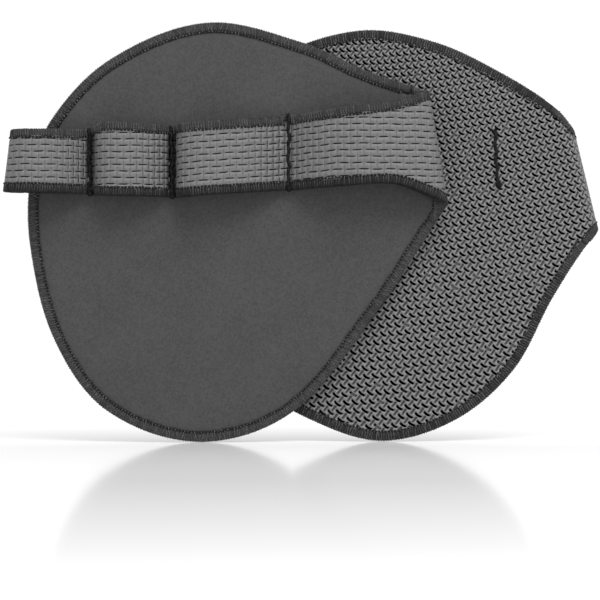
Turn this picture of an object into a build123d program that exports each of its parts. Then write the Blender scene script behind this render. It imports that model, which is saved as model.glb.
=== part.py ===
from build123d import *
import os
from math import cos, radians, sin

# A pair of neoprene hand grips, standing one behind the other with their textured faces together.
# Frame: +X right, +Z up, -Y towards the finger strap of the front grip; origin under the pair's middle.
# Each grip is one sheet: a rounded palm pad whose tail folds over the right edge, crosses the smooth
# face as a finger strap, is sewn down at three seams and turns back under itself as an end loop.
# In each grip's own terms "across" runs along the strap, "up" across it, and "depth" is the
# distance out from the textured face, towards the strap.

# Driving dimensions, in millimetres and degrees
JERSEY = 0.5                # smooth lining
FOAM = 2.3                  # neoprene core
RUBBER = 0.7                # embossed skin
THREAD = 0.35               # overlock thread round the cut edge
PAD_BAND = 2.8              # overlock flange on the pad's faces
STRAP_BAND = 2.4            # overlock flange on the strap's faces
PAIR_GAP = 1.4              # between the two textured faces
SHEET = RUBBER + FOAM + JERSEY
FOLD_BORE = 1.5             # inner radius of the fold at the pad's edge
FOLD_OUTER = FOLD_BORE + SHEET
FOLD_SPREAD = 25            # how far the strap leans outwards as it leaves the fold
END_BORE = 3.0              # inner radius at the end loop's turn
END_OUTER = END_BORE + SHEET
BODY_GAP = 0.3              # between the end loop and the pad it lies on
HINGE_GAP = 1.2             # between the finger panel and the palm flap
LOOP_GAP = 1.0              # from seam 3 to the end loop; the strap ends halfway
SEAM_SLOPES = (30, 60, 48)  # rise out of seams 1, 2 and 3 of the loop on the seam's left
NEEDLE_RADIUS = 0.3
STITCH_PITCH = 2.2
SEAM_THREAD = 0.5           # diameter of the seams' thread
REACH = 60                  # further than any strap stands out

# Surfaces of the strap, from the jersey's inner face to the rubber's outer face: their distance from
# the inner face in the open strap, in the pinched seam, and in the end loop's pinched end, and half
# the flat left between two loops.
OPEN = [0, JERSEY, JERSEY + FOAM, SHEET]
PINCHED = [0, 0.4, 1.2, 1.8]
END_PINCHED = [0.9, 1.1, 1.5, 1.9]
END_RETURN = [0.8, 0.7, 0.5, 0.3]
HALF_LAND = [2.4, 2.0, 0.9, 0.5]

DRAW = {2: Line, 3: ThreePointArc, 4: Bezier}

os.makedirs("parts", exist_ok=True)


class Grip:
    """One grip: its place, its outline and its strap, measured across and up."""

    def __init__(
        self, name, side, lean, outline, fold, hinge_up, seams, seam_length, crowns, strap_top, strap_foot, end
    ):
        self.name = name
        self.side = side                    # 1 if the strap is towards -Y, -1 if towards +Y
        self.across = Vector(cos(radians(lean)), 0, sin(radians(lean)))
        self.up = Vector(-sin(radians(lean)), 0, cos(radians(lean)))
        self.outline = outline              # clockwise from the fold's foot to its top
        self.fold = fold                    # the fold's outer edge, foot and top
        self.hinge_up = hinge_up            # the crease between finger panel and palm flap
        self.seams = seams                  # from the fold outwards
        self.seam_length = seam_length
        self.crowns = crowns                # inner height of the loops, from the fold outwards
        self.strap_top = strap_top          # from left to right
        self.strap_foot = strap_foot        # from right to left
        self.end = end                      # the end loop's turn, foot and top

    def face(self, depth):
        """Plane of a layer's face, with across and up as its axes."""
        origin = Vector(0, -self.side * (PAIR_GAP / 2 + depth), 0)
        return Plane(origin=origin, x_dir=self.across, z_dir=(0, -1, 0))

    def section(self, height):
        """Plane of a cut across the strap, with across and depth as its axes."""
        origin = self.up * height + Vector(0, -self.side * PAIR_GAP / 2, 0)
        return Plane(origin=origin, x_dir=self.across, z_dir=self.up * -self.side)


def on_line(line, height):
    """Across position of a slanted line, given by its foot and top, at a height."""
    (foot_across, foot_up), (top_across, top_up) = line
    return foot_across + (top_across - foot_across) * (height - foot_up) / (top_up - foot_up)


def directions(knots):
    """Unit tangents of the smooth curve through the knots."""
    points = [Vector(*knot) for knot in knots]
    before = [points[0]] + points[:-1]
    after = points[1:] + [points[-1]]
    return [(b - a).normalized() for a, b in zip(before, after)]


def inset(knots, amount):
    """The same curve moved to its right, which is inwards on a clockwise outline."""
    return [
        (knot[0] + tangent.Y * amount, knot[1] - tangent.X * amount)
        for knot, tangent in zip(knots, directions(knots))
    ]


def spans(knots):
    """Bezier spans of the smooth curve through the knots."""
    points = [Vector(*knot) for knot in knots]
    tangents = directions(knots)
    result = []
    for start, end, leave, arrive in zip(points, points[1:], tangents, tangents[1:]):
        reach = (end - start).length / 3
        result.append((start, start + leave * reach, end - arrive * reach, end))
    return result


def pad_window(grip, above_hinge):
    """What the finger panel or the palm flap may fill: up to the fold, and up to the crease."""
    (foot, top) = grip.fold
    if above_hinge:
        crease = grip.hinge_up + HINGE_GAP / 2
        edge = [(on_line(grip.fold, height) - FOLD_OUTER, height) for height in (crease, 150)]
        return [(-150, crease), edge[0], edge[1], (-150, 150)]
    crease = grip.hinge_up - HINGE_GAP / 2
    return [(-150, -20), (150, -20), (150, crease), (-150, crease)]


def pad_shape(grip, edge_inset, above_hinge):
    """Outline of one layer of the finger panel or the palm flap."""
    with BuildSketch() as shape:
        with BuildLine():
            knots = inset(grip.outline, edge_inset)
            for span in spans(knots):
                Bezier(*span)
            Line(knots[-1], knots[0])
        make_face()
        with BuildSketch(mode=Mode.INTERSECT):
            with BuildLine():
                Polyline(*pad_window(grip, above_hinge), close=True)
            make_face()
    return shape.sketch


def strap_shape(grip, edge_inset, left, right):
    """Outline of the strap between two across positions, seen from the front."""
    with BuildSketch() as shape:
        with BuildLine():
            top = inset(grip.strap_top, edge_inset)
            foot = inset(grip.strap_foot, edge_inset)
            for span in spans(top) + spans(foot):
                Bezier(*span)
            Line(top[-1], foot[0])
            Line(foot[-1], top[0])
        make_face()
        with BuildSketch(mode=Mode.INTERSECT):
            with BuildLine():
                Polyline((left, 0), (right, 0), (right, 150), (left, 150), close=True)
            make_face()
    return shape.sketch


def first_loop(grip, level, height):
    """The fold and the loop from it to the first seam, at one surface of the strap."""
    centre = on_line(grip.fold, height) - FOLD_OUTER
    radius = FOLD_BORE + OPEN[level]
    mid = SHEET + FOLD_BORE
    spread, half = radians(90 - FOLD_SPREAD), radians(-FOLD_SPREAD / 2)
    leave = Vector(centre + radius * cos(spread), mid + radius * sin(spread))
    turn = [
        Vector(centre, mid - radius),
        Vector(centre + radius * cos(half), mid + radius * sin(half)),
        leave,
    ]
    seam = Vector(grip.seams[0] + HALF_LAND[level], SHEET + PINCHED[level])
    width = centre - grip.seams[0]
    rise = leave + Vector(-cos(radians(FOLD_SPREAD)), sin(radians(FOLD_SPREAD))) * width * 0.35
    crown = SHEET + grip.crowns[0] + OPEN[level]
    fall = (8 * crown - leave.Y - 3 * rise.Y - seam.Y) / 3
    return [turn, (leave, rise, Vector(seam.X + width * 0.32, fall), seam)]


def later_loop(grip, number, level):
    """A loop between two seams: it rises gently from the right one and drops steeply at the left."""
    right, left = grip.seams[number - 1], grip.seams[number]
    leave = Vector(right - HALF_LAND[level], SHEET + PINCHED[level])
    seam = Vector(left + HALF_LAND[level], SHEET + PINCHED[level])
    slope, lift = radians(SEAM_SLOPES[number - 1]), (right - left) * 0.38
    rise = leave + Vector(-cos(slope), sin(slope)) * lift
    crown = SHEET + grip.crowns[number] + OPEN[level]
    fall = (8 * crown - leave.Y - 3 * rise.Y - seam.Y) / 3
    return (leave, rise, Vector(seam.X - 0.6, fall), seam)


def strap_surface(grip, level, height):
    """One surface of the strap, cut across: the fold, three loops and the flats at the seams."""
    chain = first_loop(grip, level, height)
    for number in (1, 2):
        loop = later_loop(grip, number, level)
        chain.append((chain[-1][-1], loop[0]))
        chain.append(loop)
    end = Vector(grip.seams[2] - HALF_LAND[0], SHEET + PINCHED[level])
    chain.append((chain[-1][-1], end))
    return chain


def end_surface(grip, level, height):
    """One surface of the end loop, cut across: out from the seam, round the turn and back."""
    start = grip.seams[2] - LOOP_GAP
    turn_across = on_line(grip.end, height) + END_OUTER
    mid = SHEET + BODY_GAP + END_OUTER
    radius = END_BORE + OPEN[level]
    leave = Vector(start, SHEET + END_PINCHED[level])
    arrive = Vector(start, SHEET + END_RETURN[level])
    top = Vector(turn_across, mid + radius)
    foot = Vector(turn_across, mid - radius)
    slope, reach = radians(SEAM_SLOPES[2]), (start - turn_across) * 0.45
    rise = leave + Vector(-reach * cos(slope), reach * sin(slope))
    return [
        (leave, rise, top + Vector(reach, 0), top),
        (top, Vector(turn_across - radius, mid), foot),
        (foot, foot + Vector(reach * 0.7, 0), arrive + Vector(-reach, 0), arrive),
    ]


def cut_across(surface, grip, inner, outer, height):
    """Cross-section of what lies between two surfaces of the strap or the end loop."""
    with BuildSketch() as cut:
        with BuildLine():
            low = surface(grip, inner, height)
            high = surface(grip, outer, height)
            for points in low + high:
                DRAW[len(points)](*points)
            Line(low[0][0], high[0][0])
            Line(low[-1][-1], high[-1][-1])
        make_face()
    return cut.sketch


def pad_layer(grip, edge_inset, above_hinge, depth, thickness):
    """One flat layer of the pad."""
    with BuildPart() as layer:
        with BuildSketch(grip.face(depth)):
            add(pad_shape(grip, edge_inset, above_hinge))
        extrude(amount=grip.side * thickness)
    return layer


def strap_layer(grip, surface, inner, outer, outline):
    """One curved layer of the strap or the end loop, lofted upwards and cut to its outline."""
    with BuildPart() as layer:
        for height in (55, 115):
            with BuildSketch(grip.section(height)):
                add(cut_across(surface, grip, inner, outer, height))
        loft(ruled=True)
        with BuildSketch(grip.face(0)):
            add(outline)
        extrude(amount=REACH, both=True, mode=Mode.INTERSECT)
    return layer


def seam_run(grip, number):
    """Across position, middle height and stitch count of a seam."""
    across = grip.seams[number]
    middle = (on_curve(grip.strap_top, across) + on_curve(grip.strap_foot, across)) / 2
    return across, middle, int(grip.seam_length / STITCH_PITCH)


def on_curve(knots, across):
    """Height of a strap edge at an across position, between its knots."""
    ends = sorted(zip(knots, knots[1:]), key=lambda pair: abs(sum(p[0] for p in pair) / 2 - across))
    (a_across, a_up), (b_across, b_up) = ends[0]
    return a_up + (b_up - a_up) * (across - a_across) / (b_across - a_across)


def needle_holes(grip):
    """The needle holes of all three seams, as circles on a face."""
    with BuildSketch() as holes:
        for number in range(3):
            across, middle, count = seam_run(grip, number)
            with Locations((across, middle)):
                with GridLocations(0, STITCH_PITCH, 1, count + 1):
                    Circle(NEEDLE_RADIUS)
    return holes.sketch


def pierce(layer, grip):
    """Cuts the needle holes through a layer."""
    with BuildPart() as pierced:
        add(layer.part)
        with BuildSketch(grip.face(0)):
            add(needle_holes(grip))
        extrude(amount=REACH, both=True, mode=Mode.SUBTRACT)
    return pierced


def edge_band(full, inner_face, foam):
    """Overlock thread: the rim of the sheet, less what lies inside its flanges and less the foam."""
    with BuildPart() as band:
        add(full.part)
        add(inner_face.part, mode=Mode.SUBTRACT)
        add(foam.part, mode=Mode.SUBTRACT)
    return band


def seam_thread(grip, number):
    """A lockstitched seam: a line of thread on each face, joined through the needle holes."""
    across, middle, count = seam_run(grip, number)
    length = count * STITCH_PITCH + SEAM_THREAD
    strap_face = SHEET + PINCHED[3]
    with BuildPart() as seam:
        for depth in (-SEAM_THREAD / 2, strap_face):
            with BuildSketch(grip.face(depth)):
                with Locations((across, middle)):
                    SlotOverall(length, SEAM_THREAD, rotation=90)
            extrude(amount=grip.side * SEAM_THREAD / 2)
        with BuildSketch(grip.face(0)):
            with Locations((across, middle)):
                with GridLocations(0, STITCH_PITCH, 1, count + 1):
                    Circle(NEEDLE_RADIUS - 0.05)
        extrude(amount=grip.side * strap_face)
    return seam


def save(piece, name):
    """Labels a finished piece and writes it."""
    piece.part.label = name
    export_step(piece.part, f"parts/{name}.step")


def save_sheet(name, layers):
    """Writes the rubber, foam, jersey and overlock of one stretch of the sheet."""
    for layer_name, layer in layers.items():
        save(layer, f"{name}_{layer_name}")


def make_pad(grip, stretch, above_hinge):
    """Finger panel or palm flap: three bonded layers with an overlocked edge."""
    rubber = pad_layer(grip, PAD_BAND, above_hinge, 0, RUBBER)
    foam = pad_layer(grip, THREAD, above_hinge, RUBBER, FOAM)
    jersey = pad_layer(grip, PAD_BAND, above_hinge, RUBBER + FOAM, JERSEY)
    full = pad_layer(grip, 0, above_hinge, 0, SHEET)
    inner = pad_layer(grip, PAD_BAND, above_hinge, 0, SHEET)
    overlock = edge_band(full, inner, foam)
    if above_hinge:
        rubber, foam, jersey = [pierce(layer, grip) for layer in (rubber, foam, jersey)]
    save_sheet(
        f"{grip.name}_{stretch}",
        {"rubber": rubber, "foam": foam, "jersey": jersey, "overlock": overlock},
    )


def make_strap(grip, stretch, surface, left, right):
    """Finger strap or end loop: the same layers, arched, with both long edges overlocked."""
    shapes = {edge: strap_shape(grip, edge, left, right) for edge in (0, THREAD, STRAP_BAND)}
    rubber = strap_layer(grip, surface, 2, 3, shapes[STRAP_BAND])
    foam = strap_layer(grip, surface, 1, 2, shapes[THREAD])
    jersey = strap_layer(grip, surface, 0, 1, shapes[STRAP_BAND])
    full = strap_layer(grip, surface, 0, 3, shapes[0])
    inner = strap_layer(grip, surface, 0, 3, shapes[STRAP_BAND])
    overlock = edge_band(full, inner, foam)
    if stretch == "strap":
        rubber, foam, jersey, overlock = [pierce(layer, grip) for layer in (rubber, foam, jersey, overlock)]
    save_sheet(
        f"{grip.name}_{stretch}",
        {"rubber": rubber, "foam": foam, "jersey": jersey, "overlock": overlock},
    )


def make_grip(grip):
    """Every piece of one grip."""
    make_pad(grip, "finger_panel", True)
    make_pad(grip, "palm_flap", False)
    last_seam = grip.seams[2]
    make_strap(grip, "strap", strap_surface, last_seam - LOOP_GAP / 2, 150)
    make_strap(grip, "end_loop", end_surface, -150, last_seam)
    for number in range(3):
        save(seam_thread(grip, number), f"{grip.name}_seam_{number + 1}")


front = Grip(
    name="front",
    side=1,
    lean=0,
    outline=[
        (47, 79.6), (45.2, 73.9), (39.1, 64.4), (22.5, 39.3), (-2.8, 9.4), (-31.5, 0), (-60.5, 9.6),
        (-76.8, 31.5), (-84.3, 60), (-84.3, 82), (-77.7, 100.2), (-59.3, 118.9), (-29.6, 130.1),
        (0, 124), (20, 115.2), (39.4, 108.7), (45, 106.8),
    ],
    fold=((45.2, 73.9), (39.4, 108.7)),
    hinge_up=62,
    seams=(-4.1, -40.2, -65.5),
    seam_length=20,
    crowns=(7.5, 6.8, 6.2),
    strap_top=[
        (-100, 96.2), (-68, 96.7), (-61, 98.6), (-44, 98.1), (-36, 98.3), (-20, 99.4), (-4.1, 100.9),
        (13.4, 103), (28.4, 105.1), (39.4, 108.7), (48, 112.4),
    ],
    strap_foot=[
        (54, 70), (45.2, 73.9), (37.8, 77), (28.4, 79.8), (13.4, 79.2), (-4.1, 78.1), (-36, 75.9),
        (-44, 76), (-61, 76.2), (-68, 76.9), (-100, 77.4),
    ],
    end=((-91.9, 77), (-89.5, 96.6)),
)

rear = Grip(
    name="rear",
    side=-1,
    lean=4,
    outline=[
        (99, 64), (97.5, 59.3), (90.8, 52.1), (80.9, 38.5), (67.5, 17.5), (48.3, 3.2), (25, -1.7),
        (3.3, 6.4), (-14.2, 19.5), (-26.3, 40), (-31.6, 62), (-29.7, 84.3), (-18.7, 105.6),
        (-1.7, 119.4), (26.7, 126.6), (50.4, 121.3), (70.6, 110.1), (86.3, 98.4), (92.1, 91.1), (95, 86),
    ],
    fold=((97.5, 59.3), (92.1, 91.1)),
    hinge_up=50,
    seams=(66.8, 32.5, 6),
    seam_length=18,
    crowns=(6.8, 6.8, 6.2),
    strap_top=[(-40, 94), (6, 94.3), (32.5, 94.6), (66.8, 94.2), (80, 92.8), (92.1, 91.1), (100, 90)],
    strap_foot=[
        (106, 55), (97.5, 59.3), (88, 66.5), (78, 71.2), (66.8, 73.2), (32.5, 73.2), (6, 73.6), (-40, 74.5),
    ],
    end=((-23.4, 74.6), (-21.6, 94)),
)

for grip in (front, rear):
    make_grip(grip)
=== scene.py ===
from math import cos, pi, radians, sin

import bpy
import numpy as np
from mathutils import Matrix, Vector
from mathutils.geometry import delaunay_2d_cdt


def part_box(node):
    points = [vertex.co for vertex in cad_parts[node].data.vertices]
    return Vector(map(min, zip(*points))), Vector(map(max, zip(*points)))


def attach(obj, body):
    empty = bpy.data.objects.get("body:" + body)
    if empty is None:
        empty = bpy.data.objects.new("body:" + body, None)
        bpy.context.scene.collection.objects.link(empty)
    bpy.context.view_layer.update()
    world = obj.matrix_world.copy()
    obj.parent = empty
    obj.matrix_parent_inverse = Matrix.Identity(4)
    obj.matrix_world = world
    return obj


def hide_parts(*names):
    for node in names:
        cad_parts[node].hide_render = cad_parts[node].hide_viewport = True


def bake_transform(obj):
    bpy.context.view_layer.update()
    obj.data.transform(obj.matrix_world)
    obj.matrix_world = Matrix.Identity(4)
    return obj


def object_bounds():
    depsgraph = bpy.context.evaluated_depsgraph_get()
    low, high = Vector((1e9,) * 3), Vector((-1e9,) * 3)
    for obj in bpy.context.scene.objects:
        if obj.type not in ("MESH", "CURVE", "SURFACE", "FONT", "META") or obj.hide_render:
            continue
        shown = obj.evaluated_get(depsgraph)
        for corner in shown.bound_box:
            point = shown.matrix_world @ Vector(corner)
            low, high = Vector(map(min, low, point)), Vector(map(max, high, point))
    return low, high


# A pair of neoprene hand grips standing on a white floor. Every piece is laid out flat, in the millimetres of
# the sheet it was cut from, and then put in place by the chart of the pad or of the strap.

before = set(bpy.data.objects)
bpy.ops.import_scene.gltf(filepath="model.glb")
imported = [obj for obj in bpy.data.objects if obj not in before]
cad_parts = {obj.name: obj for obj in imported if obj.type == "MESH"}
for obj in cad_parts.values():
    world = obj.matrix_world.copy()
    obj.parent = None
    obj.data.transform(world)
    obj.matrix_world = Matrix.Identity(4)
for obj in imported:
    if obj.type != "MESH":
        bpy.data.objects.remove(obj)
packed_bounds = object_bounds()

# The sheet, in millimetres. Depths run from the rubber's face to the jersey's.
RUBBER, FOAM, JERSEY = 0.7, 2.3, 0.5
SHEET = RUBBER + FOAM + JERSEY
LAYER_DEPTHS = (0, RUBBER, RUBBER + FOAM, SHEET)

# The overlocked edges: how far they reach in from the cut, and how far each layer reaches below them
PAD_BAND, STRAP_BAND = 2.8, 2.4
SKIN_TUCK, LINING_TUCK, CORE_INSET = 0.5, 0.3, 0.8

# The fold between pad and strap and the turned-back end loop: the radius inside and outside the sheet, how
# many degrees the strap opens from the fold, and the end loop's gaps to the pad and to seam 3
FOLD_BORE, END_BORE = 1.5, 3.0
FOLD_OUTER, END_OUTER = FOLD_BORE + SHEET, END_BORE + SHEET
FOLD_OPENING = 25
BODY_GAP, LOOP_GAP = 0.3, 1.0

# The strap's four surfaces, from the jersey's face to the rubber's: their height where the sheet is free,
# under a seam, and at both ends of the end loop
OPEN = (0, JERSEY, JERSEY + FOAM, SHEET)
PINCHED = (0, 0.4, 1.2, 1.8)
END_PINCHED = (0.9, 1.1, 1.5, 1.9)
END_RETURN = (0.8, 0.7, 0.5, 0.3)

# How far each surface stays flat beside seam 1, and beside seams 2 and 3; degrees at which loops leave a seam
HALF_LAND = (2.4, 2.0, 0.9, 0.5)
VALLEY_LAND = (2.9, 2.6, 1.8, 1.4)
SEAM_SLOPES = (30, 60, 48)

# Tones of the overlock: the bed, the darkest and the lightest thread, and how much painted shade darkens the
# rim.
# The strap foot's tones are darker than its top's: painted shade on the strap's lower edge
FRONT_PAD_TONES, REAR_PAD_TONES = (0.3, 0.3, 1.0), (0.1, 0.1, 1.0)
STRAP_TOP_TONES, STRAP_FOOT_TONES = (0.25, 0.25, 0.95), (0.05, 0.1, 0.9, 0.7)


# ---------------------------------------------------------------- curves in the plane


def directions(points):
    before = points[[0, *range(len(points) - 1)]]
    after = points[[*range(1, len(points)), len(points) - 1]]
    step = after - before
    return step / np.linalg.norm(step, axis=1)[:, None]


def bezier(control, count):
    t = np.linspace(0, 1, count)[:, None]
    a, b, c, d = (np.array(point, float) for point in control)
    return a * (1 - t) ** 3 + 3 * b * t * (1 - t) ** 2 + 3 * c * t**2 * (1 - t) + d * t**3


def arc(centre, radius, start, end, count):
    angle = np.radians(np.linspace(start, end, count))
    return np.array(centre) + radius * np.column_stack((np.cos(angle), np.sin(angle)))


def smooth_line(knots, count=16):
    """The smooth curve through the knots, as many points."""
    knots = np.array(knots, float)
    tangents = directions(knots)
    pieces = []
    for a, b, leave, arrive in zip(knots, knots[1:], tangents, tangents[1:]):
        reach = np.linalg.norm(b - a) / 3
        pieces.append(bezier((a, a + leave * reach, b - arrive * reach, b), count)[:-1])
    return np.vstack(pieces + [knots[-1:]])


def lengths(points):
    return np.concatenate(([0], np.cumsum(np.linalg.norm(np.diff(points, axis=0), axis=1))))


def resample(points, step):
    run = lengths(points)
    where = np.linspace(0, run[-1], max(2, int(round(run[-1] / step)) + 1))
    return np.column_stack([np.interp(where, run, column) for column in points.T])


def on_line(line, height):
    (foot_across, foot_up), (top_across, top_up) = line
    return foot_across + (top_across - foot_across) * (height - foot_up) / (top_up - foot_up)


def heights_at(line, across):
    """Height of a curve at across positions, for a curve that runs one way across."""
    order = np.argsort(line[:, 0])
    return np.interp(across, line[order, 0], line[order, 1])


def inside(polygon, points):
    """Which points lie inside a polygon."""
    result = np.zeros(len(points), bool)
    x, y = points[:, 0], points[:, 1]
    for (ax, ay), (bx, by) in zip(polygon, np.roll(polygon, -1, axis=0)):
        if ay == by:
            continue
        crosses = ((ay > y) != (by > y)) & (x < (bx - ax) * (y - ay) / (by - ay) + ax)
        result ^= crosses
    return result


def distance_to(points, line):
    """Distance of points to the nearest point of a dense line."""
    result = np.empty(len(points))
    for start in range(0, len(points), 4000):
        part = points[start : start + 4000]
        result[start : start + 4000] = np.sqrt(((part[:, None] - line[None]) ** 2).sum(2).min(1))
    return result


# ---------------------------------------------------------------- the two grips


class Grip:
    """One grip: across runs along the strap, up across it, depth goes from the embossed face to the smooth one.
    Side is 1 where the smooth face is in front; join is how many degrees the pad's skin goes round the fold."""

    def __init__(
        self, name, side, lean, outline, fold, crease, seams, crowns, strap_top, strap_foot, end, join
    ):
        self.name, self.side = name, side
        self.cos, self.sin = cos(radians(lean)), sin(radians(lean))
        self.fold, self.crease, self.seams, self.crowns, self.end = fold, crease, seams, crowns, end
        self.join = FOLD_OUTER * radians(join)
        self.outline = smooth_line(outline)
        self.strap_top, self.strap_foot = smooth_line(strap_top), smooth_line(strap_foot)
        low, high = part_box(f"{name}_finger_panel_rubber")
        self.face_y = (high if side > 0 else low).y * 1000
        self.shift = np.zeros(2)
        low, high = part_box(f"{name}_palm_flap_overlock")
        flap = self.world(*self.outline[self.outline[:, 1] < crease - 0.6].T, 0) * 1000
        self.shift = np.array((low.x * 1000 - flap[:, 0].min(), low.z * 1000 - flap[:, 2].min()))

    def world(self, across, up, depth):
        across, up, depth = np.broadcast_arrays(across, up, depth)
        x = across * self.cos - up * self.sin + self.shift[0]
        z = across * self.sin + up * self.cos + self.shift[1]
        return np.stack((x, self.face_y - self.side * depth, z), -1) / 1000

    def centre(self, up):
        """Across position where the pad ends and the fold begins."""
        return on_line(self.fold, up) - FOLD_OUTER


class Pad:
    """Chart of the pad: flat up to the fold, then round it."""

    def __init__(self, grip):
        self.grip = grip

    def place(self, p, q, h):
        p, q, h = np.broadcast_arrays(np.asarray(p, float), q, h)
        centre = self.grip.centre(q)
        beyond = np.clip(p - centre, 0, None)
        angle = beyond / FOLD_OUTER
        radius = FOLD_OUTER - h
        turned = beyond > 0
        across = np.where(turned, centre + radius * np.sin(angle), p)
        depth = np.where(turned, FOLD_OUTER - radius * np.cos(angle), h)
        return self.grip.world(across, q, depth)


class Strap:
    """Chart of the strap: s runs along the sheet's outer face from seam 1, towards the fold; q is the height.
    It is a table of sections at ROWS heights, each with the sheet's four surfaces as lines of points."""

    BASE, STEP, ROWS = 46.0, 2.0, 36

    def __init__(self, grip):
        self.grip = grip
        self.rows = self.BASE + self.STEP * np.arange(self.ROWS)
        self.table = np.array([[self.section(level, height) for level in (3, 2, 1, 0)] for height in self.rows])
        run = np.array([lengths(outer) for outer in self.table[:, 0]])
        self.s = run[:, self.seam_index][:, None] - run

    def section(self, level, height):
        """One surface of the sheet at one height, from the pad's edge round the fold to the end loop's tip."""
        grip = self.grip
        centre, mid, radius = grip.centre(height), FOLD_OUTER, FOLD_BORE + OPEN[level]
        opening = radians(FOLD_OPENING)
        parts = [
            np.linspace((centre - 20, mid - radius), (centre, mid - radius), 8),
            arc((centre, mid), radius, -90, 90 - FOLD_OPENING, 60),
        ]
        self.fold_index = 7
        leave = parts[-1][-1]
        base = SHEET + PINCHED[level]
        seam = np.array((grip.seams[0] + HALF_LAND[level], base))
        width = centre - grip.seams[0]
        rise = leave + np.array((-cos(opening), sin(opening))) * width * 0.35
        fall = (8 * (SHEET + grip.crowns[0] + OPEN[level]) - leave[1] - 3 * rise[1] - seam[1]) / 3
        parts.append(bezier((leave, rise, (seam[0] + width * 0.32, fall), seam), 110))
        self.seam_index = sum(len(part) for part in parts) + 3
        for number in (1, 2):
            slope = radians(SEAM_SLOPES[number - 1])
            right, left = grip.seams[number - 1], grip.seams[number]
            leave = np.array((right - (HALF_LAND if number == 1 else VALLEY_LAND)[level], base))
            parts.append(np.linspace(seam, leave, 7))
            seam = np.array((left + VALLEY_LAND[level], base))
            rise = leave + np.array((-cos(slope), sin(slope))) * (right - left) * 0.38
            fall = (8 * (SHEET + grip.crowns[number] + OPEN[level]) - leave[1] - 3 * rise[1] - seam[1]) / 3
            parts.append(bezier((leave, rise, (seam[0] - 0.6, fall), seam), 90))
        start, slope = grip.seams[2] - LOOP_GAP, radians(SEAM_SLOPES[2])
        turn = on_line(grip.end, height) + END_OUTER
        mid, radius = SHEET + BODY_GAP + END_OUTER, END_BORE + OPEN[level]
        leave = np.array((start, SHEET + END_PINCHED[level]))
        arrive = np.array((start, SHEET + END_RETURN[level]))
        reach = (start - turn) * 0.45
        rise = leave + reach * np.array((-cos(slope), sin(slope)))
        parts += [
            np.linspace(seam, leave, 9),
            bezier((leave, rise, (turn + reach, mid + radius), (turn, mid + radius)), 80),
            arc((turn, mid), radius, 90, 270, 60),
            bezier(((turn, mid - radius), (turn + reach * 0.7, mid - radius), arrive - (reach, 0), arrive), 60),
        ]
        later = [part[1:] if np.allclose(part[0], parts[0][-1]) else part for part in parts[1:]]
        return np.vstack([parts[0]] + later)

    def locate(self, s, q, h):
        """Across and depth of points given by s, height and depth in the sheet."""
        s, q, h = (np.ravel(v) for v in np.broadcast_arrays(np.asarray(s, float), q, h))
        row = np.clip((q - self.BASE) / self.STEP, 0, self.ROWS - 1.001)
        first = row.astype(int)
        result = np.zeros((len(s), 2))
        for k in np.unique(first):
            pick = np.nonzero(first == k)[0]
            for table, share in ((k, 1 - row[pick] + k), (k + 1, row[pick] - k)):
                along = self.s[table][::-1]
                layers = np.array(
                    [
                        np.column_stack([np.interp(s[pick], along, column[::-1]) for column in layer.T])
                        for layer in self.table[table]
                    ]
                )
                result[pick] += share[:, None] * self.through(layers, h[pick])
        return result

    @staticmethod
    def through(layers, h):
        """Points at depth h between the four surfaces of the sheet, or off its outer and inner face."""
        level = np.clip(np.searchsorted(LAYER_DEPTHS, h, side="right") - 1, 0, 2)
        depths = np.array(LAYER_DEPTHS)
        span = (h - depths[level]) / (depths[level + 1] - depths[level])
        index = np.arange(len(h))
        a, b = layers[level, index], layers[level + 1, index]
        result = a + (b - a) * np.clip(span, 0, 1)[:, None]
        for off, near, far, over in ((h < 0, 0, 1, -h), (h > SHEET, 3, 2, h - SHEET)):
            out = layers[near] - layers[far]
            out /= np.linalg.norm(out, axis=1)[:, None]
            result[off] += out[off] * over[off, None]
        return result

    def place(self, s, q, h):
        s, q, h = np.broadcast_arrays(np.asarray(s, float), q, h)
        located = self.locate(s, q, h).reshape(s.shape + (2,))
        return self.grip.world(located[..., 0], q, located[..., 1])

    def s_at(self, index, q):
        """s of one sample of the chart, at heights."""
        return np.interp(q, self.rows, self.s[:, index])

    def edge(self, top, count=900):
        """One edge of the strap as (s, height), from the fold to the end loop's tip."""
        grip = self.grip
        line = grip.strap_top if top else grip.strap_foot
        half = len(grip.outline) // 2
        pad_line = grip.outline[half:] if top else grip.outline[:half]
        q = np.full(count, grip.fold[1][1] if top else grip.fold[0][1], float)
        share = np.linspace(0, 1, count)
        quarter = FOLD_OUTER * pi / 2
        for _ in range(12):
            fold_s = self.s_at(self.fold_index, q[0])
            s = fold_s + (self.s_at(-1, q[-1]) - fold_s) * share
            across = self.locate(s, q, np.zeros(count))[:, 0]
            on_pad = s > self.s_at(self.fold_index, q) - quarter
            q = np.where(on_pad, heights_at(pad_line, across), heights_at(line, across))
        return np.column_stack((s, q))


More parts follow.
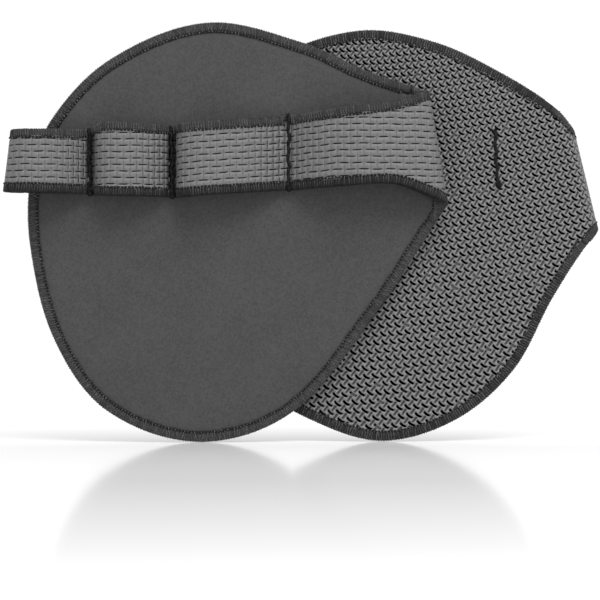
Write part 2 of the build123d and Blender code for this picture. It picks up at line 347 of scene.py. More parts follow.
FRONT = Grip(
    name="front",
    side=1,
    lean=0,
    outline=[
        (47, 79.6), (45.2, 73.9), (39.1, 64.4), (22.5, 39.3), (-2.8, 9.4), (-31.5, 0), (-60.5, 9.6),
        (-76.8, 31.5), (-84.3, 60), (-84.3, 82), (-77.7, 100.2), (-59.3, 118.9), (-29.6, 130.1), (0, 124),
        (20, 115.2), (39.4, 108.7), (45, 106.8),
    ],
    fold=((45.2, 73.9), (39.4, 108.7)),
    crease=62,
    seams=(-4.1, -40.2, -65.5),
    crowns=(7.5, 6.8, 6.2),
    strap_top=[
        (-100, 96.2), (-68, 96.7), (-61, 98.6), (-44, 98.1), (-36, 98.3), (-20, 99.4), (-4.1, 100.9),
        (13.4, 103), (28.4, 105.1), (39.4, 108.7), (48, 112.4),
    ],
    strap_foot=[
        (54, 70), (45.2, 73.9), (37.8, 77), (28.4, 79.8), (13.4, 79.2), (-4.1, 78.1), (-36, 75.9), (-44, 76),
        (-61, 76.2), (-68, 76.9), (-100, 77.4),
    ],
    end=((-91.9, 77), (-89.5, 96.6)),
    join=10,
)
REAR = Grip(
    name="rear",
    side=-1,
    lean=4,
    outline=[
        (99, 64), (97.5, 59.3), (90.8, 52.1), (80.9, 38.5), (67.5, 17.5), (48.3, 3.2), (25, -1.7), (3.3, 6.4),
        (-14.2, 19.5), (-26.3, 40), (-31.6, 62), (-29.7, 84.3), (-18.7, 105.6), (-1.7, 119.4), (26.7, 126.6),
        (50.4, 121.3), (70.6, 110.1), (86.3, 98.4), (92.1, 91.1), (95, 86),
    ],
    fold=((97.5, 59.3), (92.1, 91.1)),
    crease=50,
    seams=(66.8, 32.5, 6),
    crowns=(6.8, 6.8, 6.2),
    strap_top=[(-40, 94), (6, 94.3), (32.5, 94.6), (66.8, 94.2), (80, 92.8), (92.1, 91.1), (100, 90)],
    strap_foot=[
        (106, 55), (97.5, 59.3), (88, 66.5), (78, 71.2), (66.8, 73.2), (32.5, 73.2), (6, 73.6), (-40, 74.5),
    ],
    end=((-23.4, 74.6), (-21.6, 94)),
    join=100,
)


# ---------------------------------------------------------------- meshes


def outwards(points, faces):
    """Groups of equal-sided faces of a closed surface, turned round if they face inwards."""
    volume = 0.0
    for group in faces:
        for second in range(1, group.shape[1] - 1):
            a, b, c = points[group[:, 0]], points[group[:, second]], points[group[:, second + 1]]
            volume += np.einsum("ij,ij->", a, np.cross(b, c))
    return [group[:, ::-1] for group in faces] if volume < 0 else list(faces)


def make_object(name, points, faces, values=None):
    """A closed mesh from points in metres and groups of equal-sided faces, its normals outwards."""
    faces = outwards(points, faces)
    mesh = bpy.data.meshes.new(name)
    mesh.vertices.add(len(points))
    mesh.vertices.foreach_set("co", points.astype(np.float32).ravel())
    corners = np.concatenate([group.ravel() for group in faces]).astype(np.int32)
    counts = np.concatenate([np.full(len(group), group.shape[1]) for group in faces])
    starts = np.concatenate(([0], np.cumsum(counts)[:-1])).astype(np.int32)
    mesh.loops.add(len(corners))
    mesh.loops.foreach_set("vertex_index", corners)
    mesh.polygons.add(len(counts))
    mesh.polygons.foreach_set("loop_start", starts)
    mesh.polygons.foreach_set("use_smooth", np.ones(len(counts), bool))
    mesh.update(calc_edges=True)
    mesh.validate()
    for label, data in (values or {}).items():
        mesh.attributes.new(label, "FLOAT", "POINT").data.foreach_set("value", data.astype(np.float32))
    item = bpy.data.objects.new(name, mesh)
    bpy.context.scene.collection.objects.link(item)
    return item


def fill(border, edges, extra):
    """Triangles that fill closed borders, using extra points inside; indices count borders first."""
    coords = [Vector(point) for point in np.vstack((border, extra)).tolist()]
    out, _, triangles, origin, _, _ = delaunay_2d_cdt(coords, edges.tolist(), [], 1, 1e-7)
    source = np.array([found[0] for found in origin])
    triangles = source[np.array(triangles)]
    flat = np.vstack((border, extra))
    a, b, c = (flat[triangles[:, corner]] for corner in range(3))
    ab, ac = b - a, c - a
    clockwise = ab[:, 0] * ac[:, 1] - ab[:, 1] * ac[:, 0] < 0
    triangles[clockwise] = triangles[clockwise][:, ::-1]
    return triangles


def spread(polygon, step, margin):
    """Points of a staggered grid inside a polygon, clear of its border."""
    low, high = polygon.min(0), polygon.max(0)
    across, up = np.meshgrid(np.arange(low[0], high[0], step[0]), np.arange(low[1], high[1], step[1]))
    across = across + (np.arange(len(across)) % 2)[:, None] * step[0] / 2
    points = np.column_stack((across.ravel(), up.ravel()))
    points = points[inside(polygon, points)]
    return points[distance_to(points, resample(np.vstack((polygon, polygon[:1])), margin / 2)) > margin]


def loop_edges(count):
    return np.column_stack((np.arange(count), np.roll(np.arange(count), -1)))


def plate(name, chart, polygon, top, bottom, step, coarse=None, relief=None):
    """A closed piece of one layer, between two depths, with its border along a polygon."""
    border = resample(np.vstack((polygon, polygon[:1])), min(step))[:-1]
    count = len(border)
    edges = loop_edges(count)
    extra = spread(border, step, min(step) * 0.55)
    coarse_extra = spread(border, coarse or step, min(step) * 0.8)
    upper = fill(border, edges, extra)
    lower = fill(border, edges, coarse_extra)[:, ::-1]
    flat_top, flat_low = np.vstack((border, extra)), np.vstack((border, coarse_extra))
    raised = relief(flat_top, border) if relief else 0
    points = np.vstack((chart.place(*flat_top.T, top + raised), chart.place(*flat_low.T, bottom)))
    shift = len(flat_top)
    a, b = edges.T
    area = border[:, 0] @ np.roll(border[:, 1], -1) - border[:, 1] @ np.roll(border[:, 0], -1)
    walls = np.column_stack((b, a, a + shift, b + shift))
    if area < 0:
        walls = walls[:, ::-1]
    return make_object(name, points, [upper, lower + shift, walls])


def embossed(
    name, chart, polygon, angle, origin, period, widths, depths, tones, sag, growth, climb, lowered, near
):
    """The embossed skin over a polygon, as a grid that follows its grooves: short ones in two directions, each
    between the ends of its neighbours. Widths are (floor, lips) of the grooves along and across; depths are
    those of both grooves and of their lips, and tones are painted shade in both grooves and, where negative,
    a painted highlight on their lips; sag bows the rows, growth makes the pattern larger towards the foot and
    climb tilts it towards the fold; lowered says how much deeper points lie, and near gives the painted shade
    of a seam's valley and how close points are to the slope beside it, where grooves across get deeper and
    take more painted shade."""
    turn = np.array(((cos(angle), sin(angle)), (-sin(angle), cos(angle))))
    corners = (polygon - origin) @ turn.T
    half = np.array(period) / 2
    spare = 1 + int(growth * 3000)
    low = np.floor(corners.min(0) / half).astype(int) - spare
    high = np.ceil(corners.max(0) / half).astype(int) + spare
    blocks = [np.repeat(np.arange(low[axis], high[axis]), 5) for axis in (0, 1)]
    lines = [np.tile(np.arange(5), high[axis] - low[axis]) for axis in (0, 1)]
    xs, ys = [
        blocks[axis] * half[axis] + np.array((-lips, -floor, floor, lips, half[axis]))[lines[axis]] / 2
        for axis, (floor, lips) in ((0, widths[1]), (1, widths[0]))
    ]
    x, y = np.meshgrid(xs, ys, indexing="ij")
    bx, by = np.meshgrid(*blocks, indexing="ij")
    ix, iy = np.meshgrid(*lines, indexing="ij")
    even = (bx + by) % 2 == 0
    floor_x, floor_y = (ix == 1) | (ix == 2), (iy == 1) | (iy == 2)
    along = floor_y & ((ix == 4) | even)
    cross = floor_x & ((iy == 4) | ~even)
    near_x, near_y = (ix == 0) | (ix == 3), (iy == 0) | (iy == 3)
    rim = (near_y & ((ix == 4) | even)) | (near_x & ((iy == 4) | ~even))
    vary = 0.85 + 0.3 * np.modf(np.abs(np.sin(bx * 12.9898 + by * 78.233) * 43758.5453))[0]
    wave = np.cos(2 * pi * x / period[0]) * np.cos(2 * pi * y / period[1])
    y = y - sag * wave
    x = x + 0.1 * np.sin(0.9 * y + 1.3 * np.sin(0.37 * x)) * np.sin(0.8 * x)
    y = y + 0.08 * np.sin(0.7 * x + 1.1 * np.sin(0.43 * y))
    flat = np.column_stack((x.ravel(), y.ravel())) @ turn
    p, q = flat.T
    flat = origin + flat + growth * np.column_stack((-2 * p * q, p**2 - q**2))
    flat[:, 1] += climb * np.clip(flat[:, 0] + 42, 0, 60)
    painted_valley_shade, slope = (share.reshape(x.shape) for share in near(flat)) if near else (0.0, 0.6)
    depth = np.where(cross, depths[1] * vary * (0.3 + slope), np.where(rim, depths[2], 0))
    depth = np.where(along, depths[0] * vary, depth)
    # Painted shade in the grooves, more in the grooves across on the slopes, and a painted highlight on the
    # lips where their tone is negative
    tone = np.where(along, tones[0] * vary, np.where(cross, tones[1] * (0.2 + slope), 0.0))
    tone = np.where(rim & ~along & ~cross, tones[2], tone)
    # Painted shade in the seams' valleys
    tone = tone + (1 - tone) * painted_valley_shade
    kept = inside(polygon, flat).reshape(x.shape)
    cell = kept[:-1, :-1] & kept[1:, :-1] & kept[1:, 1:] & kept[:-1, 1:]
    index = np.arange(x.size).reshape(x.shape)
    quads = np.stack((index[:-1, :-1], index[1:, :-1], index[1:, 1:], index[:-1, 1:]), -1)[cell]
    used, quads = np.unique(quads, return_inverse=True)
    quads = quads.reshape(-1, 4)
    flat, depth, tone = flat[used], depth.ravel()[used], tone.ravel()[used]
    a, b = quads.ravel(), np.roll(quads, -1, axis=1).ravel()
    forward = a.astype(np.int64) * len(used) + b
    border = ~np.isin(forward, b.astype(np.int64) * len(used) + a)
    a, b = a[border], b[border]
    rim_points, inverse = np.unique(np.concatenate((a, b)), return_inverse=True)
    edges = inverse.reshape(2, -1).T
    low_border = flat[rim_points]
    extra = spread(polygon, (2.5, 2.5), 1.6)
    lower = fill(low_border, edges, extra)[:, ::-1]
    drop = lowered(flat) if lowered else 0
    top_points = chart.place(*flat.T, depth + drop)
    low_points = chart.place(*np.vstack((low_border, extra)).T, RUBBER)
    shift = len(flat)
    walls = np.column_stack((b, a, edges[:, 0] + shift, edges[:, 1] + shift))
    underside_painted_shade = np.zeros(len(low_points))
    return make_object(
        name,
        np.vstack((top_points, low_points)),
        [quads, walls, lower + shift],
        {"groove": np.concatenate((tone, underside_painted_shade))},
    )


def tubes(paths, radius, side, sides=6):
    """Closed threads along paths (threads, points, 3) in metres; side is a vector across each path."""
    ahead = np.gradient(paths, axis=1)
    ahead /= np.linalg.norm(ahead, axis=2)[..., None]
    side = np.broadcast_to(side, paths.shape)
    second = np.cross(ahead, side)
    second /= np.linalg.norm(second, axis=2)[..., None]
    first = np.cross(second, ahead)
    angle = np.arange(sides) * 2 * pi / sides
    ring = first[:, :, None] * np.cos(angle)[:, None] + second[:, :, None] * np.sin(angle)[:, None]
    radius = np.broadcast_to(radius, paths.shape[:2])[..., None, None]
    points = (paths[:, :, None] + ring * radius).reshape(-1, 3)
    threads, length = paths.shape[:2]
    index = np.arange(threads * length * sides).reshape(threads, length, sides)
    a, b = index[:, :-1], index[:, 1:]
    quads = np.stack((a, np.roll(a, -1, axis=2), np.roll(b, -1, axis=2), b), -1).reshape(-1, 4)
    caps = np.concatenate((index[:, 0, ::-1], index[:, -1]))
    return points, quads, caps


def joined(parts):
    """Several (points, quads, caps, tone) parts as one set of points, face groups and tones."""
    points, quads, caps, tones, shift = [], [], {}, [], 0
    for part_points, part_quads, part_caps, tone in parts:
        points.append(part_points)
        quads.append(part_quads + shift)
        caps.setdefault(part_caps.shape[1], []).append(part_caps + shift)
        tones.append(np.broadcast_to(tone, len(part_points)))
        shift += len(part_points)
    groups = [np.vstack(quads)] + [np.vstack(group) for group in caps.values()]
    return np.vstack(points), groups, np.concatenate(tones)


class Rim:
    """A cut edge of the sheet: t runs along it, a goes inwards from it, h through the sheet."""

    def __init__(self, chart, line, inwards):
        self.chart = chart
        self.line = resample(line, 0.5)
        self.t = lengths(self.line)
        ahead = directions(self.line)
        self.normal = np.column_stack((ahead[:, 1], -ahead[:, 0])) * inwards

    def place(self, t, a, h):
        t, a, h = np.broadcast_arrays(np.asarray(t, float), a, h)
        p, q = (
            np.interp(t, self.t, self.line[:, i]) + a * np.interp(t, self.t, self.normal[:, i]) for i in (0, 1)
        )
        return self.chart.place(p, q, h)

    def ahead(self, t):
        step = self.place(t + 0.3, 0.5, SHEET / 2) - self.place(t - 0.3, 0.5, SHEET / 2)
        return step / np.linalg.norm(step, axis=-1)[..., None]


def edging(rim, band, seed, bed_tone, dark, light, painted_rim_shade=0.0):
    """Overlocking: a dark bed round the edge, threads over it, and a stitched line along its inner side. It
    starts with the front pad's tones, and has its own beyond 14 mm. Its last argument darkens the threads
    towards the outer rim as painted shade."""
    rng = np.random.default_rng(seed)
    length = rim.t[-1]
    t = np.linspace(0, length, int(length / 1.0))
    profile = np.array(
        (
            (band, 0.16), (band * 0.6, 0.02), (0.5, 0.03), (0.14, 0.28), (0.02, 0.9), (0.02, SHEET - 0.9),
            (0.14, SHEET - 0.28), (0.5, SHEET - 0.03), (band * 0.6, SHEET - 0.02), (band, SHEET - 0.16),
            (band, SHEET - 0.45), (0.8, SHEET - 0.5), (0.5, SHEET / 2), (0.8, 0.5), (band, 0.45),
        )
    )
    near_end = FRONT_PAD_TONES
    bed = rim.place(t[:, None], profile[:, 0], profile[:, 1])
    index = np.arange(bed.shape[0] * bed.shape[1]).reshape(bed.shape[:2])
    a, b = index[:-1], index[1:]
    quads = np.stack((a, b, np.roll(b, -1, axis=1), np.roll(a, -1, axis=1)), -1).reshape(-1, 4)
    caps = np.stack((index[0], index[-1, ::-1]))
    bed_tones = np.repeat(np.interp(t, (4, 14), (near_end[0], bed_tone)), len(profile))
    points = bed.reshape(-1, 3)
    parts = [(points, *outwards(points, (quads, caps)), bed_tones)]
    pitch, lift, radius = 0.8, 0.05, 0.00011
    count = int((length - 5) / pitch)
    faces = np.array(((0.0, band), (0.02, band - 0.05), (0.28, band * 0.66), (0.62, band * 0.33), (0.92, 0.42)))
    back = np.column_stack((faces[:, 0] * 0.3, faces[:, 1], (0.3, -lift * 0.6, -lift, -lift, -lift)))
    turn = np.array(
        (
            (0.3, 0.06, 0.08), (0.3, -0.03, 0.5), (0.3, -0.05, SHEET / 2), (0.3, -0.03, SHEET - 0.5),
            (0.3, 0.06, SHEET - 0.08),
        )
    )
    over = (SHEET + lift, SHEET + lift, SHEET + lift, SHEET + lift * 0.6, SHEET - 0.3)
    front = np.column_stack((0.3 + 0.7 * (1 - faces[::-1, 0]), faces[::-1, 1], over))
    wrap = np.vstack((back, turn, front))
    for shift, slant in ((0.0, 1.6), (0.45, -1.1)):
        start = 2 + (np.arange(count) + shift) * pitch + rng.normal(0, 0.05, count)
        slants = slant * pitch * (1 + rng.normal(0, 0.12, count))
        ts = start[:, None] + wrap[:, 0] * slants[:, None]
        inward = wrap[:, 1] + rng.normal(0, 0.04, (count, len(wrap)))
        paths = rim.place(ts, inward, wrap[:, 2])
        away = np.clip((start[:, None] - 4) / 10, 0, 1)
        # Painted shade: threads darken towards the outer rim, where the strap's lower edge turns away from the
        # light
        rim_shade = 1 - painted_rim_shade * away * (1 - np.clip(wrap[:, 1] / band * 1.2, 0, 1))
        bright = rng.uniform(size=(count, 1))
        near_tone, far_tone = (low + (high - low) * bright for low, high in (near_end[1:], (dark, light)))
        tone = np.repeat((near_tone * (1 - away) + far_tone * away) * rim_shade, 6)
        parts.append(tubes(paths, radius, rim.ahead(start)[:, None]) + (tone,))
    stitch = 1.1
    runs = int((length - 2) / stitch)
    sweep = np.linspace(0, 1, 6)
    for depth, out in ((0.0, -1), (SHEET, 1)):
        for first, share, size, bright in ((0.0, 0.5, 0.0003, (0.0, 0.02)), (0.6, 0.24, 0.00018, (0.3, 1.8))):
            ts = 0.5 + (np.arange(runs)[:, None] + first + share * sweep) * stitch
            deep = depth + out * (0.16 * np.sin(pi * sweep) - 0.05)
            aside = band + 0.1 + rng.normal(0, 0.06, (runs, 1)) + np.zeros(len(sweep))
            paths = rim.place(ts, aside, deep)
            inward = rim.place(ts, band + 1.0, deep) - rim.place(ts, band - 0.2, deep)
            tone = np.repeat(rng.uniform(*bright, runs), len(sweep) * 6)
            parts.append(tubes(paths, size, inward) + (tone,))
    return parts


# ---------------------------------------------------------------- materials


class Nodes:
    """Short hand for building a node tree."""

    def __init__(self, tree):
        self.tree = tree

    def feed(self, socket, value):
        """Gives a socket a value, or the output of another node."""
        if isinstance(value, bpy.types.NodeSocket):
            self.tree.links.new(value, socket)
        else:
            socket.default_value = value

    def node(self, kind, inputs=None, **settings):
        made = self.tree.nodes.new(kind)
        for key, value in settings.items():
            setattr(made, key, value)
        for key, value in (inputs or {}).items():
            self.feed(made.inputs[key], value)
        return made

    def math(self, operation, *values):
        return self.node("ShaderNodeMath", dict(enumerate(values)), operation=operation).outputs[0]

    def between(self, share, low, high):
        """A number between two others, or beyond them where the share is outside 0 to 1."""
        span = self.node("ShaderNodeMapRange", {"Value": share, "To Min": low, "To Max": high}, clamp=False)
        return span.outputs[0]

    def ramp(self, value, start, end, low, high):
        """Low up to the start, high from the end on, and straight between them."""
        limits = {"From Min": start, "From Max": end, "To Min": low, "To Max": high}
        return self.node("ShaderNodeMapRange", {"Value": value, **limits}).outputs[0]


class Look(Nodes):
    """Short hand for building a piece's material."""

    def __init__(self, name):
        self.material = bpy.data.materials.new(name)
        self.material.use_nodes = True
        super().__init__(self.material.node_tree)
        self.place = self.node("ShaderNodeTexCoord").outputs["Object"]

    def noise(self, scale, detail=2.0, roughness=0.5):
        grain = {"Vector": self.place, "Scale": scale, "Detail": detail, "Roughness": roughness}
        return self.node("ShaderNodeTexNoise", grain).outputs["Fac"]

    def attribute(self, name):
        return self.node("ShaderNodeAttribute", attribute_name=name).outputs["Fac"]

    def finish(self, value, roughness, height, distance, strength, specular, sheen=0.0):
        """A grey surface with bumps of a distance in metres."""
        bump = self.node("ShaderNodeBump", {"Height": height, "Distance": distance, "Strength": strength})
        channels = {"Red": value, "Green": value, "Blue": value}
        shader = self.tree.nodes["Principled BSDF"]
        for key, given in {
            "Base Color": self.node("ShaderNodeCombineColor", channels).outputs[0],
            "Roughness": roughness,
            "Specular IOR Level": specular,
            "Sheen Weight": sheen,
            "Sheen Roughness": 0.5,
            "Normal": bump.outputs[0],
        }.items():
            self.feed(shader.inputs[key], given)
        return self.material


def rubber_material(name, face, groove):
    n = Look(name)
    # The attribute is painted shade in the grooves and valleys, and a painted highlight on the lips where it is
    # negative; it mixes the face's colour towards the painted shade's colour
    dark = n.attribute("groove")
    light = n.math("SUBTRACT", 1.0, dark)
    mottle = n.between(n.noise(900, 3, 0.6), 0.74, 1.26)
    speck = n.between(n.noise(4200, 1, 0.5), 0.8, 1.2)
    value = n.math("MULTIPLY", n.math("MULTIPLY", mottle, speck), face)
    mixed = n.math("ADD", n.math("MULTIPLY", value, light), n.math("MULTIPLY", dark, groove))
    rough = n.between(n.noise(1500, 2), 0.48, 0.66)
    height = n.math("ADD", n.noise(3600, 2, 0.6), n.math("MULTIPLY", n.noise(700, 2), 0.8))
    return n.finish(mixed, rough, height, 0.00006, 0.8, specular=n.math("MULTIPLY", light, 0.45))


def jersey_material():
    n = Look("jersey_knit")
    place = n.node("ShaderNodeSeparateXYZ", {"Vector": n.place})
    wale = n.math("SINE", n.math("MULTIPLY", place.outputs["X"], 2 * pi / 0.00042))
    course = n.math("SINE", n.math("MULTIPLY", place.outputs["Z"], 2 * pi / 0.00034))
    knit = n.math("MULTIPLY", wale, course)
    cloud = n.between(n.noise(70, 3, 0.6), 0.86, 1.14)
    blotch = n.between(n.noise(420, 2, 0.6), 0.92, 1.08)
    fleck = n.between(n.noise(1500, 2, 0.8), 0.5, 1.5)
    value = n.math("MULTIPLY", n.math("MULTIPLY", cloud, blotch), n.math("MULTIPLY", fleck, 0.060))
    height = n.math("ADD", n.math("MULTIPLY", knit, 0.5), n.math("MULTIPLY", n.noise(1800, 2), 0.7))
    return n.finish(value, 0.92, height, 0.00004, 0.7, specular=0.2, sheen=0.08)


def thread_material(name, dark, light):
    n = Look(name)
    value = n.between(n.attribute("tone"), dark, light)
    fleck = n.between(n.noise(1700, 2, 0.8), 0.1, 1.9)
    return n.finish(n.math("MULTIPLY", value, fleck), 0.7, n.noise(5200, 2), 0.00005, 0.8, specular=0.2)


def foam_material():
    n = Look("foam_cells")
    value = n.between(n.noise(2500, 3), 0.018, 0.035)
    cells = n.node("ShaderNodeTexVoronoi", {"Vector": n.place, "Scale": 3200.0}).outputs["Distance"]
    return n.finish(value, 0.85, cells, 0.00008, 0.9, specular=0.3)


# How bright the skin's face is and how dark its painted shade is, and the darkest and lightest threads
RUBBER_LOOK = rubber_material("embossed_skin", 0.128, 0.002)
JERSEY_LOOK = jersey_material()
THREAD_LOOK = thread_material("overlock_yarn", 0.008, 0.10)
SEAM_LOOK = thread_material("seam_yarn", 0.003, 0.012)
FOAM_LOOK = foam_material()


# ---------------------------------------------------------------- building one grip


def dress(item, material, slot_name, *nodes):
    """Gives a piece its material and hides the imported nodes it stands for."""
    item.data.materials.append(material)
    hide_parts(*nodes)


def cloth(polygon):
    """Works out the flat size of one of the thin layers' cut; nothing is done with it."""
    width, length = np.ptp(polygon, axis=0) / 1000


def bends_at_crease(item, grip):
    """Works out the pad's crease, which is not used, and bakes a piece's transform into its mesh."""
    start = grip.world(0, grip.crease + 0.5, SHEET)
    end = grip.world(0, grip.crease - 11.0, SHEET)
    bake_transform(item)


def bends_at_end(item, grip):
    """Works out a line beside seam 3, which is not used, and bakes a piece's transform into its mesh."""
    start = grip.world(grip.seams[2] - 0.3, 88, SHEET)
    end = grip.world(grip.seams[2] - 2.5, 88, SHEET)
    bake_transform(item)


def pad_lines(grip, strap, reach):
    """The pad's cut edge, and its border with a strip that reaches round the fold, in the pad's chart."""
    outline = resample(grip.outline, 0.5)
    on_pad = outline[:, 0] <= grip.centre(outline[:, 1])
    first, last = np.nonzero(on_pad)[0][[0, -1]]
    edge = outline[first : last + 1]
    sides = []
    for top in (False, True):
        flat = strap.edge(top)
        turned = strap.s_at(strap.fold_index, flat[:, 1]) - flat[:, 0]
        pick = (turned > 0.2) & (turned < reach)
        beyond, heights = turned[pick], flat[pick, 1]
        sides.append(np.column_stack((grip.centre(heights) + beyond, heights)))
    return edge, np.vstack((sides[0][::-1], edge, sides[1]))


def offset(line, amount):
    """The line moved to its right, in millimetres."""
    points = resample(line, 1.0)
    ahead = directions(points)
    return points + np.column_stack((ahead[:, 1], -ahead[:, 0])) * amount


def build_pad(grip, pad, strap, emboss, tones, seed):
    name = grip.name
    edge, border = pad_lines(grip, strap, grip.join)
    lining_border = pad_lines(grip, strap, 2.5)[1]

    skin_line = offset(border, PAD_BAND - SKIN_TUCK)
    skin = embossed(f"{name}_pad_skin", pad, skin_line, lowered=None, near=None, **emboss)
    dress(skin, RUBBER_LOOK, "embossed_rubber", f"{name}_finger_panel_rubber", f"{name}_palm_flap_rubber")

    def pillow(points, line):
        """The jersey sinks in along the overlock's inner side."""
        gap = distance_to(points, resample(edge, 0.5))
        return 0.02 - 0.35 * np.exp(-((gap - PAD_BAND) / 1.2))

    lining_line = offset(lining_border, PAD_BAND - LINING_TUCK)
    lining = plate(f"{name}_pad_lining", pad, lining_line, SHEET, RUBBER + FOAM, (1.2, 1.2), (4, 4), pillow)
    dress(lining, JERSEY_LOOK, "jersey", f"{name}_finger_panel_jersey", f"{name}_palm_flap_jersey")

    core_line = offset(edge, CORE_INSET)
    core = plate(f"{name}_pad_core", pad, core_line, RUBBER + FOAM - 0.1, RUBBER + 0.1, (2.0, 2.0), (4, 4))
    dress(core, FOAM_LOOK, "neoprene_foam", f"{name}_finger_panel_foam", f"{name}_palm_flap_foam")

    points, groups, tone = joined(edging(Rim(pad, edge, 1), PAD_BAND, seed, *tones))
    trim = make_object(f"{name}_pad_edging", points, groups, {"tone": tone})
    dress(trim, THREAD_LOOK, "overlock_thread", f"{name}_finger_panel_overlock", f"{name}_palm_flap_overlock")

    for item in (skin, lining, core, trim):
        bends_at_crease(item, grip)
    cloth(border)
    cloth(lining_border)


def build_strap(grip, strap, emboss, seed):
    """The strap with its end loop. Returns its top and foot edges."""
    name = grip.name
    edges = {top: strap.edge(top) for top in (True, False)}
    parts = []
    for top, line in edges.items():
        tones = STRAP_TOP_TONES if top else STRAP_FOOT_TONES
        parts += edging(Rim(strap, line, -1 if top else 1), STRAP_BAND, seed + top, *tones)
    points, groups, tone = joined(parts)
    trim = make_object(f"{name}_strap_edging", points, groups, {"tone": tone})
    dress(trim, THREAD_LOOK, "overlock_thread", f"{name}_strap_overlock", f"{name}_end_loop_overlock")

    def strip(inset, overlap):
        """The strap's outline, so far in from its edges and past the fold's start."""
        upper, lower = (
            line[line[:, 0] < strap.s_at(strap.fold_index, line[:, 1]) - overlap]
            for line in (edges[True], edges[False])
        )
        return np.vstack((offset(upper, -inset), offset(lower, inset)[::-1]))

    def lower_at_join(points):
        turned = strap.s_at(strap.fold_index, points[:, 1]) - points[:, 0]
        return np.where(turned < grip.join, 0.03, 0.0)

    seam_runs = [seam_run(strap, across) for across in grip.seams]

    def near_seams(points):
        """Painted shade in the valleys at the seams, and how far the grooves across the strap open, with more
        painted shade in them, on the slopes beside the seams.
        """
        painted_valley_shade, slope = np.zeros(len(points)), np.zeros(len(points))
        # dark is how much painted shade each seam's valley gets
        for run, dark, wide in zip(seam_runs, (0.35, 0.95, 0.9), (0.6, 1.7, 1.5)):
            gap = points[:, 0] - run
            painted_valley_shade = np.maximum(painted_valley_shade, dark * np.exp(-((gap / wide) ** 4)))
            slope = np.maximum(slope, np.where(gap > -1, np.exp(-((gap / 3.0) ** 2)), 0) * 0.4)
            slope = np.maximum(slope, np.where(gap < 0, 1.3 * np.exp(-((gap / 9.0) ** 2)), 0))
        return painted_valley_shade, slope

    skin_line = strip(STRAP_BAND - SKIN_TUCK, grip.join - 0.9)
    skin = embossed(f"{name}_strap_skin", strap, skin_line, lowered=lower_at_join, near=near_seams, **emboss)
    dress(skin, RUBBER_LOOK, "embossed_rubber", f"{name}_strap_rubber", f"{name}_end_loop_rubber")

    lining_line = strip(STRAP_BAND - LINING_TUCK, 0.0)
    lining = plate(f"{name}_strap_lining", strap, lining_line, SHEET, RUBBER + FOAM, (0.8, 2.0))
    dress(lining, JERSEY_LOOK, "jersey", f"{name}_strap_jersey", f"{name}_end_loop_jersey")

    core_line = strip(CORE_INSET, 0.0)
    core = plate(f"{name}_strap_core", strap, core_line, RUBBER + FOAM - 0.05, RUBBER + 0.05, (0.8, 2.0))
    dress(core, FOAM_LOOK, "neoprene_foam", f"{name}_strap_foam", f"{name}_end_loop_foam")

    for item in (skin, lining, core, trim):
        bends_at_end(item, grip)
    for item in (skin, lining):
        cloth(strip(0.0, 0.0))
    return edges


def seam_run(strap, across):
    """s of the seam at an across position."""
    row = 20
    outer = strap.table[row, 0]
    miss = np.abs(outer[:, 0] - across) + 0.2 * np.abs(outer[:, 1] - SHEET - PINCHED[3])
    return strap.s[row][np.argmin(miss)]


def tuft(chart, where, height, rng):
    """The frayed end of a thread."""
    strands, points = 9, 7
    sweep = np.linspace(0, 1, points)
    aside, up, out = (
        rng.uniform(low, high, (strands, 1)) for low, high in ((-1.5, 1.0), (-0.9, 1.6), (0.1, 0.5))
    )
    curl = rng.normal(0, 0.4, (strands, 1)) * sweep**2
    heights = height - 0.3 + up * sweep
    paths = chart.place(where + aside * sweep + curl, heights, 0.1 - 1.6 * out * sweep * (1.6 - sweep))
    across = chart.place(where + 1.0, heights, 0.1) - chart.place(where, heights, 0.1)
    return tubes(paths, 0.0002, across + 0.0002) + (np.zeros(strands * points * 6),)


def stitches(grip, strap, pad, edges, number, across):
    """One lockstitched seam: a wavy thread with a knot on the strap and on the pad's embossed face, and a tuft
    at the top of seam 1."""
    rng = np.random.default_rng(40 + number)
    s = seam_run(strap, across)
    top, foot = (np.interp(-s, -edges[which][:, 0], edges[which][:, 1]) for which in (True, False))
    parts = []
    pitch, samples = 2.1, 10
    for chart, where, low, high in ((strap, s, foot + 0.3, top - 0.3), (pad, across, foot + 2.2, top - 2.2)):
        count = int((high - low) / pitch)
        run = np.linspace(0, count, count * samples + 1)
        knots = np.arange(count + 1)
        drift = np.interp(run, knots, rng.normal(0, 0.2, count + 1))
        drift = drift + 0.22 * np.sin(pi * run + rng.uniform(0, 6))
        dip = np.cos(pi * run) ** 8
        deep = -0.32 + 0.45 * dip
        thick = 0.00048 + 0.00014 * np.cos(2 * pi * run) ** 2
        heights = low + (high - low) * run / count
        paths = chart.place(where + drift, heights, deep)[None]
        sideways = chart.place(where + drift + 0.5, heights, deep)[None] - paths
        parts.append(tubes(paths, thick[None], sideways) + (rng.uniform(0, 1, paths.shape[1] * 6),))
        if number == 0:
            parts.append(tuft(chart, where, high, rng))
        knot = np.linspace(-0.98, 0.98, 9)
        paths = chart.place(where + 0.15, low + knot, -0.35)[None]
        sideways = chart.place(where + 0.65, low + knot, -0.35)[None] - paths
        parts.append(tubes(paths, (np.sqrt(1 - knot**2) / 1000)[None], sideways, 10) + (np.zeros(9 * 10),))
    item_points, groups, tones = joined(parts)
    item = make_object(f"{grip.name}_seam_stitches_{number + 1}", item_points, groups, {"tone": tones})
    dress(item, SEAM_LOOK, "seam_thread", f"{grip.name}_seam_{number + 1}")
    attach(item, f"{grip.name}_grip")


def build(grip, pad_emboss, strap_emboss, pad_tones, seed):
    pad, strap = Pad(grip), Strap(grip)
    build_pad(grip, pad, strap, pad_emboss, pad_tones, seed)
    edges = build_strap(grip, strap, strap_emboss, seed + 1)
    for number, across in enumerate(grip.seams):
        stitches(grip, strap, pad, edges, number, across)
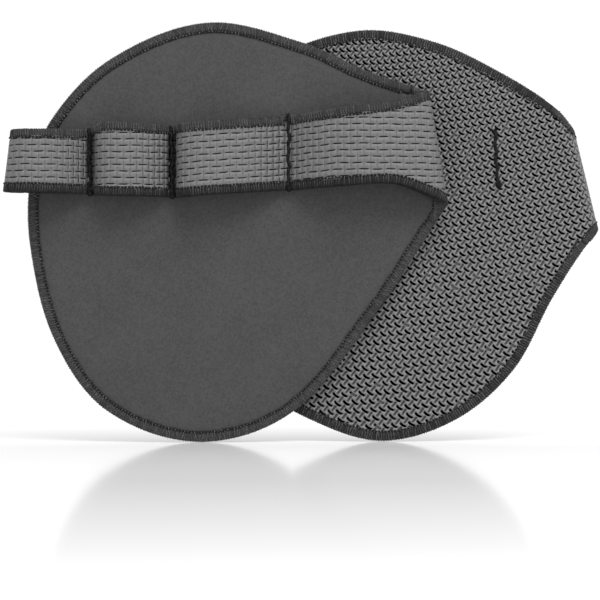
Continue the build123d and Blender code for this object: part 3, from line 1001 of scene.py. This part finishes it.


# Tones are painted shade in the grooves along and across, and a painted highlight on the lips where negative
STRAP_EMBOSS = dict(
    period=(4.1, 3.95), widths=((0.22, 0.5), (0.2, 0.5)), depths=(0.4, 0.32, -0.06),
    tones=(0.9, 0.7, -0.18), sag=0.0, growth=0.0, climb=0.0,
)
PAD_EMBOSS = dict(
    period=(3.76, 3.26), widths=((0.62, 0.95), (0.5, 0.95)), depths=(0.62, 0.38, -0.09),
    tones=(1.1, 0.78, -0.7), sag=0.24, growth=0.0009, climb=0.0,
)
build(
    FRONT,
    dict(PAD_EMBOSS, angle=radians(22.4), origin=np.array((0.0, 50.0))),
    dict(STRAP_EMBOSS, angle=0.0, origin=np.array((-40.0, 87.5)), climb=0.075),
    FRONT_PAD_TONES,
    seed=10,
)
build(
    REAR,
    dict(PAD_EMBOSS, angle=radians(-37.7), origin=np.array((60.0, 50.0))),
    dict(STRAP_EMBOSS, angle=radians(-33.1), origin=np.array((0.0, 83.0))),
    REAR_PAD_TONES,
    seed=20,
)


# ---------------------------------------------------------------- floor, light and camera

WHITE = (1, 1, 1, 1)
BACKDROP = 1.03
FLOOR_GAP = 0.0002

# The camera looks level at the grips, from in front of the width's middle
DISTANCE, EYE_HEIGHT, EYE_SHIFT = 0.78, 0.044, -0.00145
WIDTH_SEEN = 0.1872


def build_floor(height):
    """A white floor that mirrors the grips, less so towards the camera, with painted light making it lighter
    behind them over their cast shadow, and fades into the white backdrop.
    """
    bpy.ops.mesh.primitive_plane_add(size=8, location=(0, 0, height))
    floor = bpy.context.object
    floor.name = "floor"
    material = bpy.data.materials.new("white_floor")
    material.use_nodes = True
    n = Nodes(material.node_tree)
    n.tree.nodes.clear()
    place = n.node("ShaderNodeNewGeometry").outputs["Position"]
    away = n.node("ShaderNodeSeparateXYZ", {0: place}).outputs["Y"]
    shine = n.math("MULTIPLY", n.math("POWER", n.ramp(away, -0.39, -0.17, 0.0, 1.0), 0.5), 0.39)
    # Painted light: the floor's colour is lighter behind the grips, over their cast shadow
    diffuse_with_painted_light = n.node("ShaderNodeBsdfDiffuse", {"Color": n.ramp(away, -0.03, 0.01, 0.83, 0.98)}).outputs[0]
    gloss = n.node("ShaderNodeBsdfGlossy", {"Roughness": 0.09, "Color": WHITE}).outputs[0]
    polished = n.node("ShaderNodeMixShader", {0: shine, 1: diffuse_with_painted_light, 2: gloss}).outputs[0]
    shifted = n.node("ShaderNodeVectorMath", {0: place, 1: (0, 0.22, 0)}).outputs[0]
    reach = n.node("ShaderNodeVectorMath", {0: shifted}, operation="LENGTH").outputs["Value"]
    glow = n.node("ShaderNodeEmission", {"Strength": BACKDROP}).outputs[0]
    faded = n.node("ShaderNodeMixShader", {0: n.ramp(reach, 0.22, 0.33, 0.0, 1.0), 1: polished, 2: glow})
    n.node("ShaderNodeOutputMaterial", {0: faded.outputs[0]})
    floor.data.materials.append(material)


def build_world(scene):
    """White all round, and darker overhead."""
    scene.world = bpy.data.worlds.new("studio")
    scene.world.use_nodes = True
    n = Nodes(scene.world.node_tree)
    direction = n.node("ShaderNodeTexCoord").outputs["Generated"]
    up = n.node("ShaderNodeSeparateXYZ", {0: direction}).outputs["Z"]
    background = n.tree.nodes["Background"]
    n.feed(background.inputs["Color"], WHITE)
    n.feed(background.inputs["Strength"], n.ramp(up, 0.15, 0.6, BACKDROP, 0.65))


def area_light(scene, name, place, target, size, power):
    data = bpy.data.lights.new(name, "AREA")
    data.shape = "RECTANGLE"
    data.size, data.size_y = size
    data.energy = power
    lamp = bpy.data.objects.new(name, data)
    lamp.location = place
    lamp.rotation_euler = (Vector(target) - Vector(place)).to_track_quat("-Z", "Y").to_euler()
    scene.collection.objects.link(lamp)


low, high = packed_bounds
scene = bpy.context.scene
build_floor(low.z - FLOOR_GAP)
build_world(scene)
area_light(scene, "softbox", (0.25, -0.6, 0.85), (0, 0, 0.05), (0.7, 0.5), 7.6)
scene.view_settings.view_transform = "Standard"
scene.view_settings.look = "None"

camera_data = bpy.data.cameras.new("camera")
camera = bpy.data.objects.new("camera", camera_data)
scene.collection.objects.link(camera)
camera.location = ((low.x + high.x) / 2 + EYE_SHIFT, -DISTANCE, EYE_HEIGHT)
camera.rotation_euler = (pi / 2, 0, 0)
camera_data.sensor_width = 36
camera_data.lens = camera_data.sensor_width * DISTANCE / WIDTH_SEEN
camera_data.clip_start, camera_data.clip_end = 0.01, 20
scene.camera = camera
